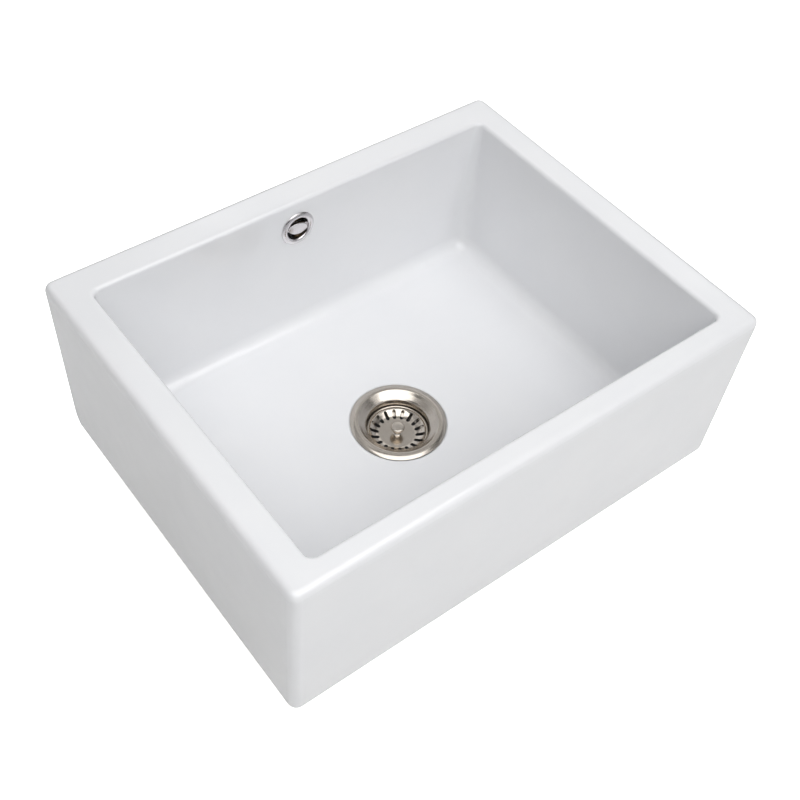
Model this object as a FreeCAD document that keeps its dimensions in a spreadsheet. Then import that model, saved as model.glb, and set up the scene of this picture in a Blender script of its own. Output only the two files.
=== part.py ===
import FreeCAD, Part
import math
import os
import Sketcher

# Farmhouse apron front sink: a glazed fireclay bowl with a 90 mm basket strainer waste
# and a built-in overflow. Millimetres. The row's origin is the centre of the waste
# outlet's mouth; every body is drawn from the waste axis and the fireclay's underside
# and lifted by outlet_drop. +X runs along the apron, the apron faces -Y, +Z is up.

Vector, Rotation, Placement = FreeCAD.Vector, FreeCAD.Rotation, FreeCAD.Placement

doc = FreeCAD.newDocument("apron_front_sink")
sheet = doc.addObject("Spreadsheet::Sheet", "Sizes")

SIZES = [
    # the fireclay, outside
    ("overall_length", 595.0),
    ("overall_width", 462.0),
    ("overall_height", 225.4),
    ("outer_draft", 2.7),
    ("waste_setback", 10.5),
    ("outlet_drop", 68.0),
    ("cup_lift", 2.5),
    ("corner_radius", 11.0),
    ("back_bottom_radius", 26.0),
    ("rim_outer_radius", 9.0),
    ("rim_inner_radius", 5.0),
    # the fireclay, inside
    ("rim_side", 36.8),
    ("rim_back", 41.7),
    ("rim_front", 27.8),
    ("floor_side", 40.5),
    ("floor_back", 44.98),
    ("floor_front", 31.1),
    ("floor_height", 37.5),
    ("bowl_corner_radius", 8.0),
    ("bowl_corner_low_radius", 19.0),
    ("floor_corner_radius", 17.0),
    ("dish_reach", 160.0),
    ("dish_fall", 1.5),
    ("dish_radius", 3468.75),
    # the waste hole
    ("waste_hole", 45.0),
    ("flange_seat", 57.3),
    ("flange_seat_height", 31.5),
    ("under_recess", 58.0),
    ("under_recess_height", 6.0),
    # the overflow channel
    ("channel_width", 48.0),
    ("channel_low", 12.0),
    ("channel_floor_top", 22.0),
    ("channel_start", 36.0),
    ("channel_back", 228.0),
    ("channel_top", 205.0),
    ("channel_chamfer", 8.0),
    ("channel_skin", 14.4),
    ("overflow_height", 188.0),
    ("overflow_offset", -5.5),
    ("overflow_turn", -13.0),
    ("overflow_hole", 17.0),
    ("overflow_tilt", 1.0),
    # the strainer's cup
    ("flange_outer", 56.3),
    ("flange_under", 33.0),
    ("flange_edge", 33.7),
    ("flange_crown", 49.5),
    ("flange_top", 36.2),
    ("cup_inner", 36.8),
    ("cup_wall", 1.0),
    ("cup_straight_top", 28.5),
    ("cup_straight_low", 14.0),
    ("seat_top_radius", 34.0),
    ("seat_top_height", 9.5),
    ("seat_low_radius", 27.0),
    ("seat_low_height", 3.0),
    ("cup_floor_radius", 26.0),
    ("cup_floor", -3.0),
    ("drain_hole", 4.0),
    ("drain_hole_circle", 15.5),
    ("drain_hole_count", 8),
    ("centre_hole", 3.3),
    # seals under and over the floor
    ("flange_gasket_inner", 46.0),
    ("flange_gasket_outer", 55.4),
    ("body_gasket_inner", 46.0),
    ("body_gasket_outer", 55.0),
    ("body_gasket_low", 3.0),
    # the waste body
    ("body_flange_inner", 43.5),
    ("body_flange_outer", 56.0),
    ("body_flange_low", -1.0),
    ("funnel_wall", 3.0),
    ("funnel_low", -12.0),
    ("cone_low", -34.0),
    ("outlet_bore", 20.5),
    ("outlet_thread", 23.9),
    ("outlet_shoulder", -40.0),
    ("hexagon_flats", 54.0),
    ("boss_radius", 8.0),
    ("boss_top", -8.0),
    ("boss_low", -28.0),
    ("rib_thickness", 3.0),
    ("rib_low", -26.0),
    ("rib_count", 3),
    ("gusset_thickness", 2.5),
    ("gusset_count", 8),
    ("insert_radius", 5.0),
    ("insert_bore", 3.05),
    ("insert_top", -9.0),
    ("insert_low", -25.0),
    # the centre screw
    ("screw_head", 5.5),
    ("screw_head_height", 2.6),
    ("screw_slot", 1.2),
    ("screw_slot_depth", 1.3),
    ("screw_shank", 3.0),
    ("screw_end", -36.0),
    ("washer_outer", 8.0),
    ("washer_thickness", 1.0),
    # the basket
    ("basket_disc", 20.8),
    ("basket_disc_top", 12.0),
    ("basket_wall", 0.8),
    ("basket_bend_radius", 33.2),
    ("basket_bend_height", 17.2),
    ("basket_neck_radius", 33.9),
    ("basket_neck_height", 18.6),
    ("bead_circle", 34.7),
    ("bead_radius", 1.25),
    ("bead_height", 19.0),
    ("basket_hole", 2.6),
    ("slot_half_width", 2.1),
    ("slot_inner", 23.6),
    ("slot_outer", 30.5),
    ("slot_count", 18),
    # the knob
    ("knob_head", 8.0),
    ("knob_top", 25.2),
    ("knob_edge", 23.6),
    ("knob_under", 21.6),
    ("knob_neck", 3.2),
    ("knob_neck_top", 19.4),
    ("knob_neck_low", 14.6),
    ("knob_foot", 5.0),
    ("knob_bore", 2.05),
    ("knob_bore_top", 20.5),
    # under the basket
    ("carrier_outer", 19.5),
    ("carrier_core", 13.0),
    ("carrier_plate_low", 9.2),
    ("carrier_low", 5.2),
    ("retainer_outer", 17.0),
    ("retainer_low", 4.2),
    ("seal_lip", 30.2),
    ("seal_lip_height", 6.5),
    ("knob_washer_outer", 6.0),
    ("knob_washer_low", 3.4),
    ("knob_screw_head", 4.0),
    ("knob_screw_low", 1.6),
    ("knob_screw_shank", 2.0),
    ("knob_screw_end", 19.5),
    # the overflow fittings, from the wall's face
    ("grommet_lip", 20.4),
    ("grommet_lip_thickness", 0.5),
    ("grommet_outer", 16.9),
    ("grommet_inner", 15.9),
    ("grommet_depth", 14.0),
    ("ring_outer", 21.5),
    ("ring_inner", 14.6),
    ("ring_edge", 1.3),
    ("ring_front", 3.2),
    ("ring_crown", 17.2),
    ("spigot_outer", 15.85),
    ("spigot_depth", 8.0),
    ("bar_width", 9.0),
    ("bar_front", -1.0),
    ("bar_back", -3.5),
    ("bar_hole", 2.6),
    ("cap_end", 13.2),
    ("cap_end_half_height", 1.58),
    ("cap_round", 13.3),
    ("cap_arc", 17.5),
    ("cap_edge", 1.2),
    ("cap_top", 2.6),
    ("cap_dome", 14.2),
    ("pull_screw_head", 4.4),
    ("pull_screw_shank", 2.5),
    ("pull_screw_end", -21.0),
    ("bridge_length", 44.0),
    ("bridge_width", 10.0),
    ("bridge_front", -14.7),
    ("bridge_thickness", 2.5),
    ("bridge_bore", 2.55),
]


class Size:
    """A number together with the spreadsheet expression that gives it."""

    def __init__(self, value, text):
        self.value, self.text = float(value), text

    def __add__(self, other):
        other = size(other)
        return Size(self.value + other.value, f"({self.text} + {other.text})")

    def __sub__(self, other):
        other = size(other)
        return Size(self.value - other.value, f"({self.text} - {other.text})")

    def __mul__(self, other):
        other = size(other)
        return Size(self.value * other.value, f"({self.text} * {other.text})")

    def __truediv__(self, other):
        other = size(other)
        return Size(self.value / other.value, f"({self.text} / {other.text})")

    def __neg__(self):
        return Size(-self.value, f"(0 - {self.text})")

    __radd__ = __add__
    __rmul__ = __mul__


def size(x):
    return x if isinstance(x, Size) else Size(x, f"({float(x):.9g})")


for row, (alias, value) in enumerate(SIZES, 1):
    sheet.set(f"A{row}", alias.replace("_", " "))
    sheet.set(f"B{row}", f"{value:g}")
    sheet.setAlias(f"B{row}", alias)
doc.recompute()


class Sheet:
    """The spreadsheet's cells by alias, each as a Size."""


S = Sheet()
for alias, value in SIZES:
    setattr(S, alias, Size(value, f"Sizes.{alias}"))


# ---------------------------------------------------------------- helpers


def bind(thing, prop, s):
    thing.setExpression(prop, size(s).text)


def body_named(name, lift=S.outlet_drop):
    b = doc.addObject("PartDesign::Body", name)
    b.Label = name
    if lift is not None:
        b.Placement = Placement(Vector(0, 0, lift.value), Rotation())
        bind(b, "Placement.Base.z", lift)
    return b


CUP_LEVEL = S.outlet_drop + S.cup_lift


def origin_feature(body, role):
    return next(f for f in body.Origin.OriginFeatures if f.Role == role)


def sketch_on(body, name, role, offset=None, turn=None):
    s = body.newObject("Sketcher::SketchObject", name)
    s.AttachmentSupport = [(origin_feature(body, role), "")]
    s.MapMode = "FlatFace"
    if offset is not None:
        s.AttachmentOffset = Placement(Vector(0, 0, offset.value), Rotation())
        bind(s, "AttachmentOffset.Base.z", offset)
    if turn is not None:
        s.AttachmentOffset = Placement(
            s.AttachmentOffset.Base, Rotation(Vector(0, 0, 1), turn.value)
        )
        s.setExpression("AttachmentOffset.Rotation.Angle", f"{turn.text} * 1 deg")
    return s


def pin(s, geo, pos, u, v, tag):
    """Hold a point at (u, v) from the sketch's origin, each by its own expression."""
    for coordinate, kind, axis, label in ((u, "DistanceX", -2, "u"), (v, "DistanceY", -1, "v")):
        if abs(coordinate.value) < 1e-9:
            s.addConstraint(Sketcher.Constraint("PointOnObject", geo, pos, axis))
            continue
        i = s.addConstraint(Sketcher.Constraint(kind, -1, 1, geo, pos, coordinate.value))
        s.renameConstraint(i, f"{label}_{tag}")
        bind(s, f"Constraints.{label}_{tag}", coordinate)


def outline(s, points, tag="p"):
    """A closed outline. Each point is (u, v) or (u, v, radius, side): the last two bend the
    side that leaves the point, round a centre on its left (+1) or on its right (-1)."""
    points = [(size(p[0]), size(p[1])) + tuple(p[2:]) for p in points]
    ends, arcs = [], []
    for i, p in enumerate(points):
        q = points[(i + 1) % len(points)]
        a, b = Vector(p[0].value, p[1].value, 0), Vector(q[0].value, q[1].value, 0)
        if len(p) == 2:
            ends.append((s.addGeometry(Part.LineSegment(a, b), False), 1, 2))
            continue
        r, side = size(p[2]), p[3]
        along = b - a
        left = Vector(-along.y, along.x, 0) / along.Length
        c = (a + b) * 0.5 + left * side * math.sqrt(max(r.value**2 - along.Length**2 / 4, 0))
        first, last = (a, b) if side > 0 else (b, a)
        start = math.atan2(first.y - c.y, first.x - c.x)
        stop = math.atan2(last.y - c.y, last.x - c.x)
        circle = Part.Circle(c, Vector(0, 0, 1), r.value)
        g = s.addGeometry(Part.ArcOfCircle(circle, start, stop), False)
        ends.append((g, 1, 2) if side > 0 else (g, 2, 1))
        arcs.append((g, r))
    for i in range(len(points)):
        g, _, end = ends[i]
        h, start, _ = ends[(i + 1) % len(points)]
        s.addConstraint(Sketcher.Constraint("Coincident", g, end, h, start))
    for i, p in enumerate(points):
        pin(s, ends[i][0], ends[i][1], p[0], p[1], f"{tag}{i}")
    for k, (g, r) in enumerate(arcs):
        i = s.addConstraint(Sketcher.Constraint("Radius", g, r.value))
        s.renameConstraint(i, f"bend_{tag}{k}")
        bind(s, f"Constraints.bend_{tag}{k}", r)
    return s


def circle(s, u, v, r, tag="c"):
    u, v, r = size(u), size(v), size(r)
    g = s.addGeometry(Part.Circle(Vector(u.value, v.value, 0), Vector(0, 0, 1), r.value), False)
    pin(s, g, 3, u, v, tag)
    i = s.addConstraint(Sketcher.Constraint("Radius", g, r.value))
    s.renameConstraint(i, f"radius_{tag}")
    bind(s, f"Constraints.radius_{tag}", r)
    return s


def turned(body, name, points, cut=False):
    """A revolution, or a groove, of an outline in the XZ plane about the body's Z axis."""
    s = outline(sketch_on(body, name + "_profile", "XZ_Plane"), points)
    f = body.newObject("PartDesign::Groove" if cut else "PartDesign::Revolution", name)
    f.Profile = s
    f.ReferenceAxis = (s, ["V_Axis"])
    f.Angle = 360.0
    s.Visibility = False
    return f


def extruded(body, name, s, length, cut=False, symmetric=False, reverse=False):
    f = body.newObject("PartDesign::Pocket" if cut else "PartDesign::Pad", name)
    f.Profile = s
    f.Type = "Length"
    f.Length = size(length).value
    bind(f, "Length", length)
    if symmetric:
        f.SideType = "Symmetric"
    f.Reversed = reverse
    s.Visibility = False
    return f


def polar(body, name, feature, count):
    p = body.newObject("PartDesign::PolarPattern", name)
    p.Originals = [feature]
    p.Axis = (origin_feature(body, "Z_Axis"), [""])
    p.Angle = 360.0
    body.Tip = p
    p.Occurrences = int(count.value)
    bind(p, "Occurrences", count)
    return p


def rounded(body, name, base, test, radius):
    doc.recompute()
    edges = [f"Edge{i}" for i, e in enumerate(base.Shape.Edges, 1) if test(e)]
    f = body.newObject("PartDesign::Fillet", name)
    f.Base = (base, edges)
    f.Radius = radius.value
    bind(f, "Radius", radius)
    return f


def wedge(body, name, kind, low, high, at_low, at_high):
    """A block whose sides lean: at_low and at_high are (x0, x1, y0, y1) at the two heights."""
    w = body.newObject(kind, name)
    w.AttachmentSupport = [(origin_feature(body, "XY_Plane"), "")]
    w.MapMode = "FlatFace"
    w.AttachmentOffset = Placement(Vector(0, 0, 0), Rotation(Vector(1, 0, 0), 90))
    cells = {
        "Ymin": low,
        "Ymax": high,
        "Xmin": at_low[0],
        "Xmax": at_low[1],
        "Zmin": -size(at_low[3]),
        "Zmax": -size(at_low[2]),
        "X2min": at_high[0],
        "X2max": at_high[1],
        "Z2min": -size(at_high[3]),
        "Z2max": -size(at_high[2]),
    }
    for key, s in cells.items():
        setattr(w, key, size(s).value)
        bind(w, key, s)
    return w


def dome(reach, rise):
    """The radius of a dome that falls by rise at reach from its axis."""
    return (reach * reach + rise * rise) / (rise * 2)


def box_of(e):
    b = e.BoundBox
    return b.XLength, b.YLength, b.ZLength, b.Center


# ---------------------------------------------------------------- the fireclay bowl

half = S.overall_length / 2
front = S.waste_setback - S.overall_width / 2
back = S.waste_setback + S.overall_width / 2
height = S.overall_height

bowl = body_named("sink_bowl")
block = wedge(
    bowl,
    "Block",
    "PartDesign::AdditiveWedge",
    0,
    height,
    (-half + S.outer_draft, half - S.outer_draft, front + S.outer_draft, back - S.outer_draft),
    (-half, half, front, back),
)
mid_y = S.waste_setback.value


def back_bottom(e):
    x, y, z, c = box_of(e)
    return x > 300 and c.y > mid_y and c.z < 1


def outside_corners(e):
    x, y, z, c = box_of(e)
    top_edge = c.z > height.value - 1
    along_back_bend = x > 300 and c.y > mid_y
    if top_edge or along_back_bend:
        return False
    return abs(c.x) > half.value - 6 or (x > 300 and c.y < mid_y)


underside_bend = rounded(bowl, "BackBottomBend", block, back_bottom, S.back_bottom_radius)
corners = rounded(bowl, "OutsideCorners", underside_bend, outside_corners, S.corner_radius)

inner_low = (
    -half + S.floor_side,
    half - S.floor_side,
    front + S.floor_front,
    back - S.floor_back,
)
inner_high = (
    -half + S.rim_side,
    half - S.rim_side,
    front + S.rim_front,
    back - S.rim_back,
)


def rounded_rectangle(s, sides, r):
    """A rectangle (x0, x1, y0, y1) in a sketch, with round corners."""
    x0, x1, y0, y1 = sides
    return outline(
        s,
        [
            (x0 + r, y0),
            (x1 - r, y0, r, 1),
            (x1, y0 + r),
            (x1, y1 - r, r, 1),
            (x1 - r, y1),
            (x0 + r, y1, r, 1),
            (x0, y1 - r),
            (x0, y0 + r, r, 1),
        ],
    )


hollow = bowl.newObject("PartDesign::SubtractiveLoft", "Hollow")
hollow.Profile = rounded_rectangle(
    sketch_on(bowl, "HollowLow_profile", "XY_Plane", S.floor_height),
    inner_low,
    S.bowl_corner_low_radius,
)
hollow_top = rounded_rectangle(
    sketch_on(bowl, "HollowTop_profile", "XY_Plane", height),
    inner_high,
    S.bowl_corner_radius,
)
hollow.Sections = [hollow_top]
hollow.Ruled = True
hollow_top.Visibility = False


def inside(c):
    return abs(c.x) < half.value - 30 and front.value + 27 < c.y < back.value - 30


def floor_loop(e):
    x, y, z, c = box_of(e)
    return inside(c) and z < 1 and abs(c.z - S.floor_height.value) < 1


def rim_inside(e):
    x, y, z, c = box_of(e)
    return inside(c) and z < 1 and c.z > height.value - 1


def rim_outside(e):
    x, y, z, c = box_of(e)
    return not inside(c) and z < 1 and c.z > height.value - 1


floor = rounded(bowl, "FloorCorner", hollow, floor_loop, S.floor_corner_radius)
rim_in = rounded(bowl, "RimInside", floor, rim_inside, S.rim_inner_radius)
rim_out = rounded(bowl, "RimOutside", rim_in, rim_outside, S.rim_outer_radius)

seat_low = S.floor_height - S.dish_fall
turned(
    bowl,
    "WasteHole",
    [
        (0, -1),
        (S.under_recess, -1),
        (S.under_recess, S.under_recess_height),
        (S.waste_hole, S.under_recess_height),
        (S.waste_hole, S.flange_seat_height + S.cup_lift),
        (S.flange_seat, S.flange_seat_height + S.cup_lift),
        (S.flange_seat, seat_low, S.dish_radius, -1),
        (S.dish_reach, S.floor_height),
        (S.dish_reach, S.floor_height + 1),
        (0, S.floor_height + 1),
    ],
    cut=True,
)

wall_lean = (S.floor_back - S.rim_back) / (height - S.floor_height)


def wall_face(z):
    """The back wall's inner face at a height."""
    return back - S.floor_back + wall_lean * (size(z) - S.floor_height)


channel = outline(
    sketch_on(bowl, "Channel_profile", "YZ_Plane", S.overflow_offset),
    [
        (S.channel_start, S.channel_low),
        (S.channel_back - S.channel_chamfer, S.channel_low),
        (S.channel_back, S.channel_low + S.channel_chamfer),
        (S.channel_back, S.channel_top),
        (wall_face(S.channel_top) + S.channel_skin, S.channel_top),
        (wall_face(S.channel_floor_top) + S.channel_skin, S.channel_floor_top),
        (S.channel_start, S.channel_floor_top),
    ],
)
extruded(bowl, "Channel", channel, S.channel_width, cut=True, symmetric=True)


def overflow_frame(thing):
    """On the back wall's face, Z out of the wall into the bowl, Y up the wall."""
    y = wall_face(S.overflow_height)
    lean = Rotation(Vector(1, 0, 0), 90 - S.overflow_tilt.value)
    lift = S.outlet_drop if thing.TypeId == "PartDesign::Body" else size(0)
    z = S.overflow_height + lift
    thing.Placement = Placement(Vector(S.overflow_offset.value, y.value, z.value), lean)
    bind(thing, "Placement.Base.x", S.overflow_offset)
    bind(thing, "Placement.Base.y", y)
    bind(thing, "Placement.Base.z", z)
    thing.setExpression("Placement.Rotation.Angle", "(90 - Sizes.overflow_tilt) * 1 deg")


opening = bowl.newObject("Sketcher::SketchObject", "OverflowHole_profile")
overflow_frame(opening)
circle(opening, 0, 0, S.overflow_hole)
extruded(bowl, "OverflowHole", opening, S.channel_skin + 7, cut=True)

# ---------------------------------------------------------------- the strainer's cup

cup = body_named("strainer_cup", CUP_LEVEL)
wall = S.cup_wall
turned(
    cup,
    "Cup",
    [
        (S.flange_outer, S.flange_under),
        (S.flange_outer, S.flange_edge, 12.5, 1),
        (S.flange_crown, S.flange_top),
        (S.flange_crown - 2.6, S.flange_top - 0.1),
        (S.flange_crown - 5.8, S.flange_top - 2.6),
        (S.cup_inner + 1.9, S.cup_straight_top + 1.7),
        (S.cup_inner, S.cup_straight_top),
        (S.cup_inner, S.cup_straight_low),
        (S.seat_top_radius, S.seat_top_height),
        (S.seat_low_radius, S.seat_low_height),
        (S.cup_floor_radius, S.cup_floor),
        (S.centre_hole, S.cup_floor),
        (S.centre_hole, S.cup_floor - wall),
        (S.cup_floor_radius + wall, S.cup_floor - wall),
        (S.seat_low_radius + wall, S.seat_low_height - 0.4),
        (S.seat_top_radius + wall * 0.7, S.seat_top_height - 0.7),
        (S.cup_inner + wall, S.cup_straight_low - 0.4),
        (S.cup_inner + wall, S.cup_straight_top - 0.3),
        (S.cup_inner + 2.7, S.flange_under - 3.4),
        (S.flange_crown - 5.0, S.flange_under),
    ],
)
hole = circle(
    sketch_on(cup, "DrainHole_profile", "XY_Plane", S.cup_floor + 0.5),
    S.drain_hole_circle,
    0,
    S.drain_hole,
)
drain = extruded(cup, "DrainHole", hole, S.cup_wall + 1, cut=True)
polar(cup, "DrainHoles", drain, S.drain_hole_count)


def washer(name, inner, outer, low, high, lift=CUP_LEVEL):
    b = body_named(name, lift)
    turned(b, "Washer", [(inner, low), (outer, low), (outer, high), (inner, high)])
    return b


washer(
    "flange_gasket",
    S.flange_gasket_inner,
    S.flange_gasket_outer,
    S.flange_seat_height,
    S.flange_under,
)
washer(
    "body_gasket",
    S.body_gasket_inner,
    S.body_gasket_outer,
    S.body_gasket_low,
    S.under_recess_height,
    S.outlet_drop,
)
washer("screw_washer", S.centre_hole, S.washer_outer, S.cup_floor, S.cup_floor + S.washer_thickness)

# ---------------------------------------------------------------- the waste body

funnel = body_named("waste_body")
outlet_end = -S.outlet_drop
outer_funnel = S.body_flange_inner + S.funnel_wall
turned(
    funnel,
    "Funnel",
    [
        (S.body_flange_inner, S.body_gasket_low),
        (S.body_flange_inner, S.funnel_low),
        (S.outlet_bore, S.cone_low),
        (S.outlet_bore, outlet_end),
        (S.outlet_thread, outlet_end),
        (S.outlet_thread, S.outlet_shoulder),
        (S.outlet_thread + 1.1, S.outlet_shoulder),
        (S.outlet_thread + 1.1, S.cone_low - 0.5),
        (outer_funnel, S.funnel_low - 1.4),
        (outer_funnel, S.body_flange_low),
        (S.body_flange_outer, S.body_flange_low),
        (S.body_flange_outer, S.body_gasket_low),
    ],
)
hexagon_radius = S.hexagon_flats * 0.5773503
hexagon = outline(
    sketch_on(funnel, "Hexagon_profile", "XY_Plane", S.outlet_shoulder),
    [
        (
            hexagon_radius * round(math.cos(math.radians(60 * k)), 9),
            hexagon_radius * round(math.sin(math.radians(60 * k)), 9),
        )
        for k in range(6)
    ],
)
circle(hexagon, 0, 0, S.outlet_bore + 1)
extruded(funnel, "Hexagon", hexagon, S.cone_low - S.outlet_shoulder)
rib = outline(
    sketch_on(funnel, "Rib_profile", "XZ_Plane"),
    [
        (2, S.funnel_low),
        (S.body_flange_inner + 1, S.funnel_low),
        (S.body_flange_inner - 13, S.rib_low),
        (2, S.rib_low),
    ],
)
polar(
    funnel,
    "Ribs",
    extruded(funnel, "Rib", rib, S.rib_thickness, symmetric=True),
    S.rib_count,
)
turned(
    funnel,
    "Boss",
    [(0, S.boss_low), (S.boss_radius, S.boss_low), (S.boss_radius, S.boss_top), (0, S.boss_top)],
)
turned(
    funnel,
    "BossBore",
    [
        (0, S.boss_low - 1),
        (S.centre_hole, S.boss_low - 1),
        (S.centre_hole, S.insert_low),
        (S.insert_radius, S.insert_low),
        (S.insert_radius, S.insert_top),
        (S.centre_hole, S.insert_top),
        (S.centre_hole, S.boss_top + 1),
        (0, S.boss_top + 1),
    ],
    cut=True,
)
gusset = outline(
    sketch_on(funnel, "Gusset_profile", "XZ_Plane"),
    [
        (outer_funnel - 1, S.body_flange_low + 0.5),
        (S.body_flange_outer - 2, S.body_flange_low + 0.5),
        (outer_funnel + 0.5, S.funnel_low + 2),
        (outer_funnel - 1, S.funnel_low + 2),
    ],
)
polar(
    funnel,
    "Gussets",
    extruded(funnel, "Gusset", gusset, S.gusset_thickness, symmetric=True),
    S.gusset_count,
)

washer(
    "threaded_insert",
    S.insert_bore,
    S.insert_radius,
    S.insert_low,
    S.insert_top,
    S.outlet_drop,
)

# ---------------------------------------------------------------- the centre screw

centre = body_named("centre_screw", CUP_LEVEL)
head_low = S.cup_floor + S.washer_thickness
head_top = head_low + S.screw_head_height
turned(
    centre,
    "Screw",
    [
        (0, S.screw_end),
        (S.screw_shank - 0.8, S.screw_end),
        (S.screw_shank, S.screw_end + 0.8),
        (S.screw_shank, head_low),
        (S.screw_head, head_low),
        (S.screw_head, head_top - 1, dome(S.screw_head, size(1)), 1),
        (0, head_top),
    ],
)
slot = outline(
    sketch_on(centre, "Slot_profile", "XY_Plane", head_top - S.screw_slot_depth),
    [
        (-S.screw_head - 1, -S.screw_slot / 2),
        (S.screw_head + 1, -S.screw_slot / 2),
        (S.screw_head + 1, S.screw_slot / 2),
        (-S.screw_head - 1, S.screw_slot / 2),
    ],
)
extruded(centre, "Slot", slot, S.screw_slot_depth + 1, cut=True, reverse=True)

# ---------------------------------------------------------------- the basket

basket = body_named("basket_shell", CUP_LEVEL)
sheet_metal = S.basket_wall
disc_low = S.basket_disc_top - sheet_metal
turned(
    basket,
    "Shell",
    [
        (S.basket_hole, S.basket_disc_top),
        (S.basket_hole, disc_low),
        (S.basket_disc, disc_low, 24.0, 1),
        (S.basket_bend_radius + sheet_metal, S.basket_bend_height - 0.4),
        (S.basket_neck_radius + sheet_metal, S.basket_neck_height),
        (S.basket_neck_radius, S.basket_neck_height),
        (S.basket_bend_radius, S.basket_bend_height, 23.2, -1),
        (S.basket_disc, S.basket_disc_top),
    ],
)
bead_profile = circle(
    sketch_on(basket, "Bead_profile", "XZ_Plane"), S.bead_circle, S.bead_height, S.bead_radius
)
bead = basket.newObject("PartDesign::Revolution", "Bead")
bead.Profile = bead_profile
bead.ReferenceAxis = (bead_profile, ["V_Axis"])
bead.Angle = 360.0
bead_profile.Visibility = False
w = S.slot_half_width
slot = outline(
    sketch_on(basket, "Slot_profile", "XY_Plane"),
    [
        (S.slot_inner, -w),
        (S.slot_outer, -w, w + 0.0001, 1),
        (S.slot_outer, w),
        (S.slot_inner, w, w + 0.0001, 1),
    ],
)
one = extruded(basket, "Slot", slot, S.basket_neck_height - 1, cut=True, reverse=True)
polar(basket, "Slots", one, S.slot_count)

knob = body_named("basket_knob", CUP_LEVEL)
turned(
    knob,
    "Knob",
    [
        (S.knob_bore, S.basket_disc_top),
        (S.knob_foot, S.basket_disc_top),
        (S.knob_foot, S.basket_disc_top + 1, 3.2, -1),
        (S.knob_neck, S.knob_neck_low),
        (S.knob_neck, S.knob_neck_top),
        (S.knob_head - 1.4, S.knob_under),
        (S.knob_head, S.knob_under + 0.8),
        (S.knob_head, S.knob_edge, 2.2, 1),
        (S.knob_head - 1.8, S.knob_top, dome(S.knob_head - 1.8, size(0.3)), 1),
        (0, S.knob_top + 0.3),
        (0, S.knob_bore_top),
        (S.knob_bore, S.knob_bore_top),
    ],
)

carrier = body_named("seal_carrier", CUP_LEVEL)
turned(
    carrier,
    "Hub",
    [
        (S.basket_hole, disc_low),
        (S.basket_hole, S.carrier_low),
        (S.carrier_core, S.carrier_low),
        (S.carrier_core, S.carrier_plate_low),
        (S.carrier_outer, S.carrier_plate_low),
        (S.carrier_outer, disc_low),
    ],
)
washer("seal_retainer", S.basket_hole, S.retainer_outer, S.retainer_low, S.carrier_low)
washer("knob_washer", S.basket_hole, S.knob_washer_outer, S.knob_washer_low, S.retainer_low)

seal = body_named("basket_seal", CUP_LEVEL)
turned(
    seal,
    "Seal",
    [
        (S.carrier_core, S.carrier_low),
        (S.retainer_outer + 3, S.carrier_low),
        (S.seal_lip - 0.9, S.seal_lip_height - 0.7),
        (S.seal_lip, S.seal_lip_height),
        (S.seal_lip - 0.5, S.seal_lip_height + 0.6),
        (S.carrier_outer + 3, S.carrier_plate_low),
        (S.carrier_core, S.carrier_plate_low),
    ],
)

basket_screw = body_named("knob_screw", CUP_LEVEL)
turned(
    basket_screw,
    "Screw",
    [
        (0, S.knob_screw_low),
        (S.knob_screw_head - 1, S.knob_screw_low),
        (S.knob_screw_head, S.knob_screw_low + 0.9),
        (S.knob_screw_head, S.knob_washer_low),
        (S.knob_screw_shank, S.knob_washer_low),
        (S.knob_screw_shank, S.knob_screw_end - 0.5),
        (S.knob_screw_shank - 0.5, S.knob_screw_end),
        (0, S.knob_screw_end),
    ],
)

# ---------------------------------------------------------------- the overflow fittings


def overflow_body(name):
    b = body_named(name, None)
    overflow_frame(b)
    return b


grommet = overflow_body("overflow_grommet")
turned(
    grommet,
    "Sleeve",
    [
        (S.grommet_inner, -S.grommet_depth),
        (S.grommet_outer, -S.grommet_depth),
        (S.grommet_outer, 0),
        (S.grommet_lip, 0),
        (S.grommet_lip, S.grommet_lip_thickness),
        (S.grommet_inner, S.grommet_lip_thickness),
    ],
)

ring = overflow_body("overflow_ring")
turned(
    ring,
    "Ring",
    [
        (S.ring_inner, -S.spigot_depth),
        (S.spigot_outer, -S.spigot_depth),
        (S.spigot_outer, S.grommet_lip_thickness),
        (S.ring_outer, S.grommet_lip_thickness),
        (S.ring_outer, S.ring_edge, 6.2, 1),
        (S.ring_crown, S.ring_front, 3.4, 1),
        (S.ring_inner, S.ring_front - 1.4),
    ],
)
bar = outline(
    sketch_on(ring, "Bar_profile", "XY_Plane", S.bar_back, S.overflow_turn),
    [
        (-S.ring_inner - 0.5, -S.bar_width / 2),
        (S.ring_inner + 0.5, -S.bar_width / 2),
        (S.ring_inner + 0.5, S.bar_width / 2),
        (-S.ring_inner - 0.5, S.bar_width / 2),
    ],
)
extruded(ring, "Bar", bar, S.bar_front - S.bar_back)
turned(
    ring,
    "BarHole",
    [
        (0, S.bar_back - 1),
        (S.bar_hole, S.bar_back - 1),
        (S.bar_hole, S.bar_back + 0.4),
        (S.pull_screw_head + 0.1, S.bar_front),
        (0, S.bar_front),
    ],
    cut=True,
)

cap = overflow_body("overflow_cap")
turned(
    cap,
    "Dome",
    [
        (0, S.bar_front),
        (S.cap_dome, S.bar_front),
        (S.cap_dome, S.cap_edge, dome(S.cap_dome, S.cap_top - S.cap_edge), 1),
        (0, S.cap_top),
    ],
)
lens = sketch_on(cap, "Lens_profile", "XY_Plane", S.bar_front - 1, S.overflow_turn)
circle(lens, 0, 0, S.cap_dome + 3)
outline(
    lens,
    [
        (-S.cap_end, -S.cap_end_half_height, S.cap_arc, 1),
        (S.cap_end, -S.cap_end_half_height, S.cap_round, 1),
        (S.cap_end, S.cap_end_half_height, S.cap_arc, 1),
        (-S.cap_end, S.cap_end_half_height, S.cap_round, 1),
    ],
    "q",
)
extruded(cap, "LensCut", lens, S.cap_top + 5, cut=True, reverse=True)

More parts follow.
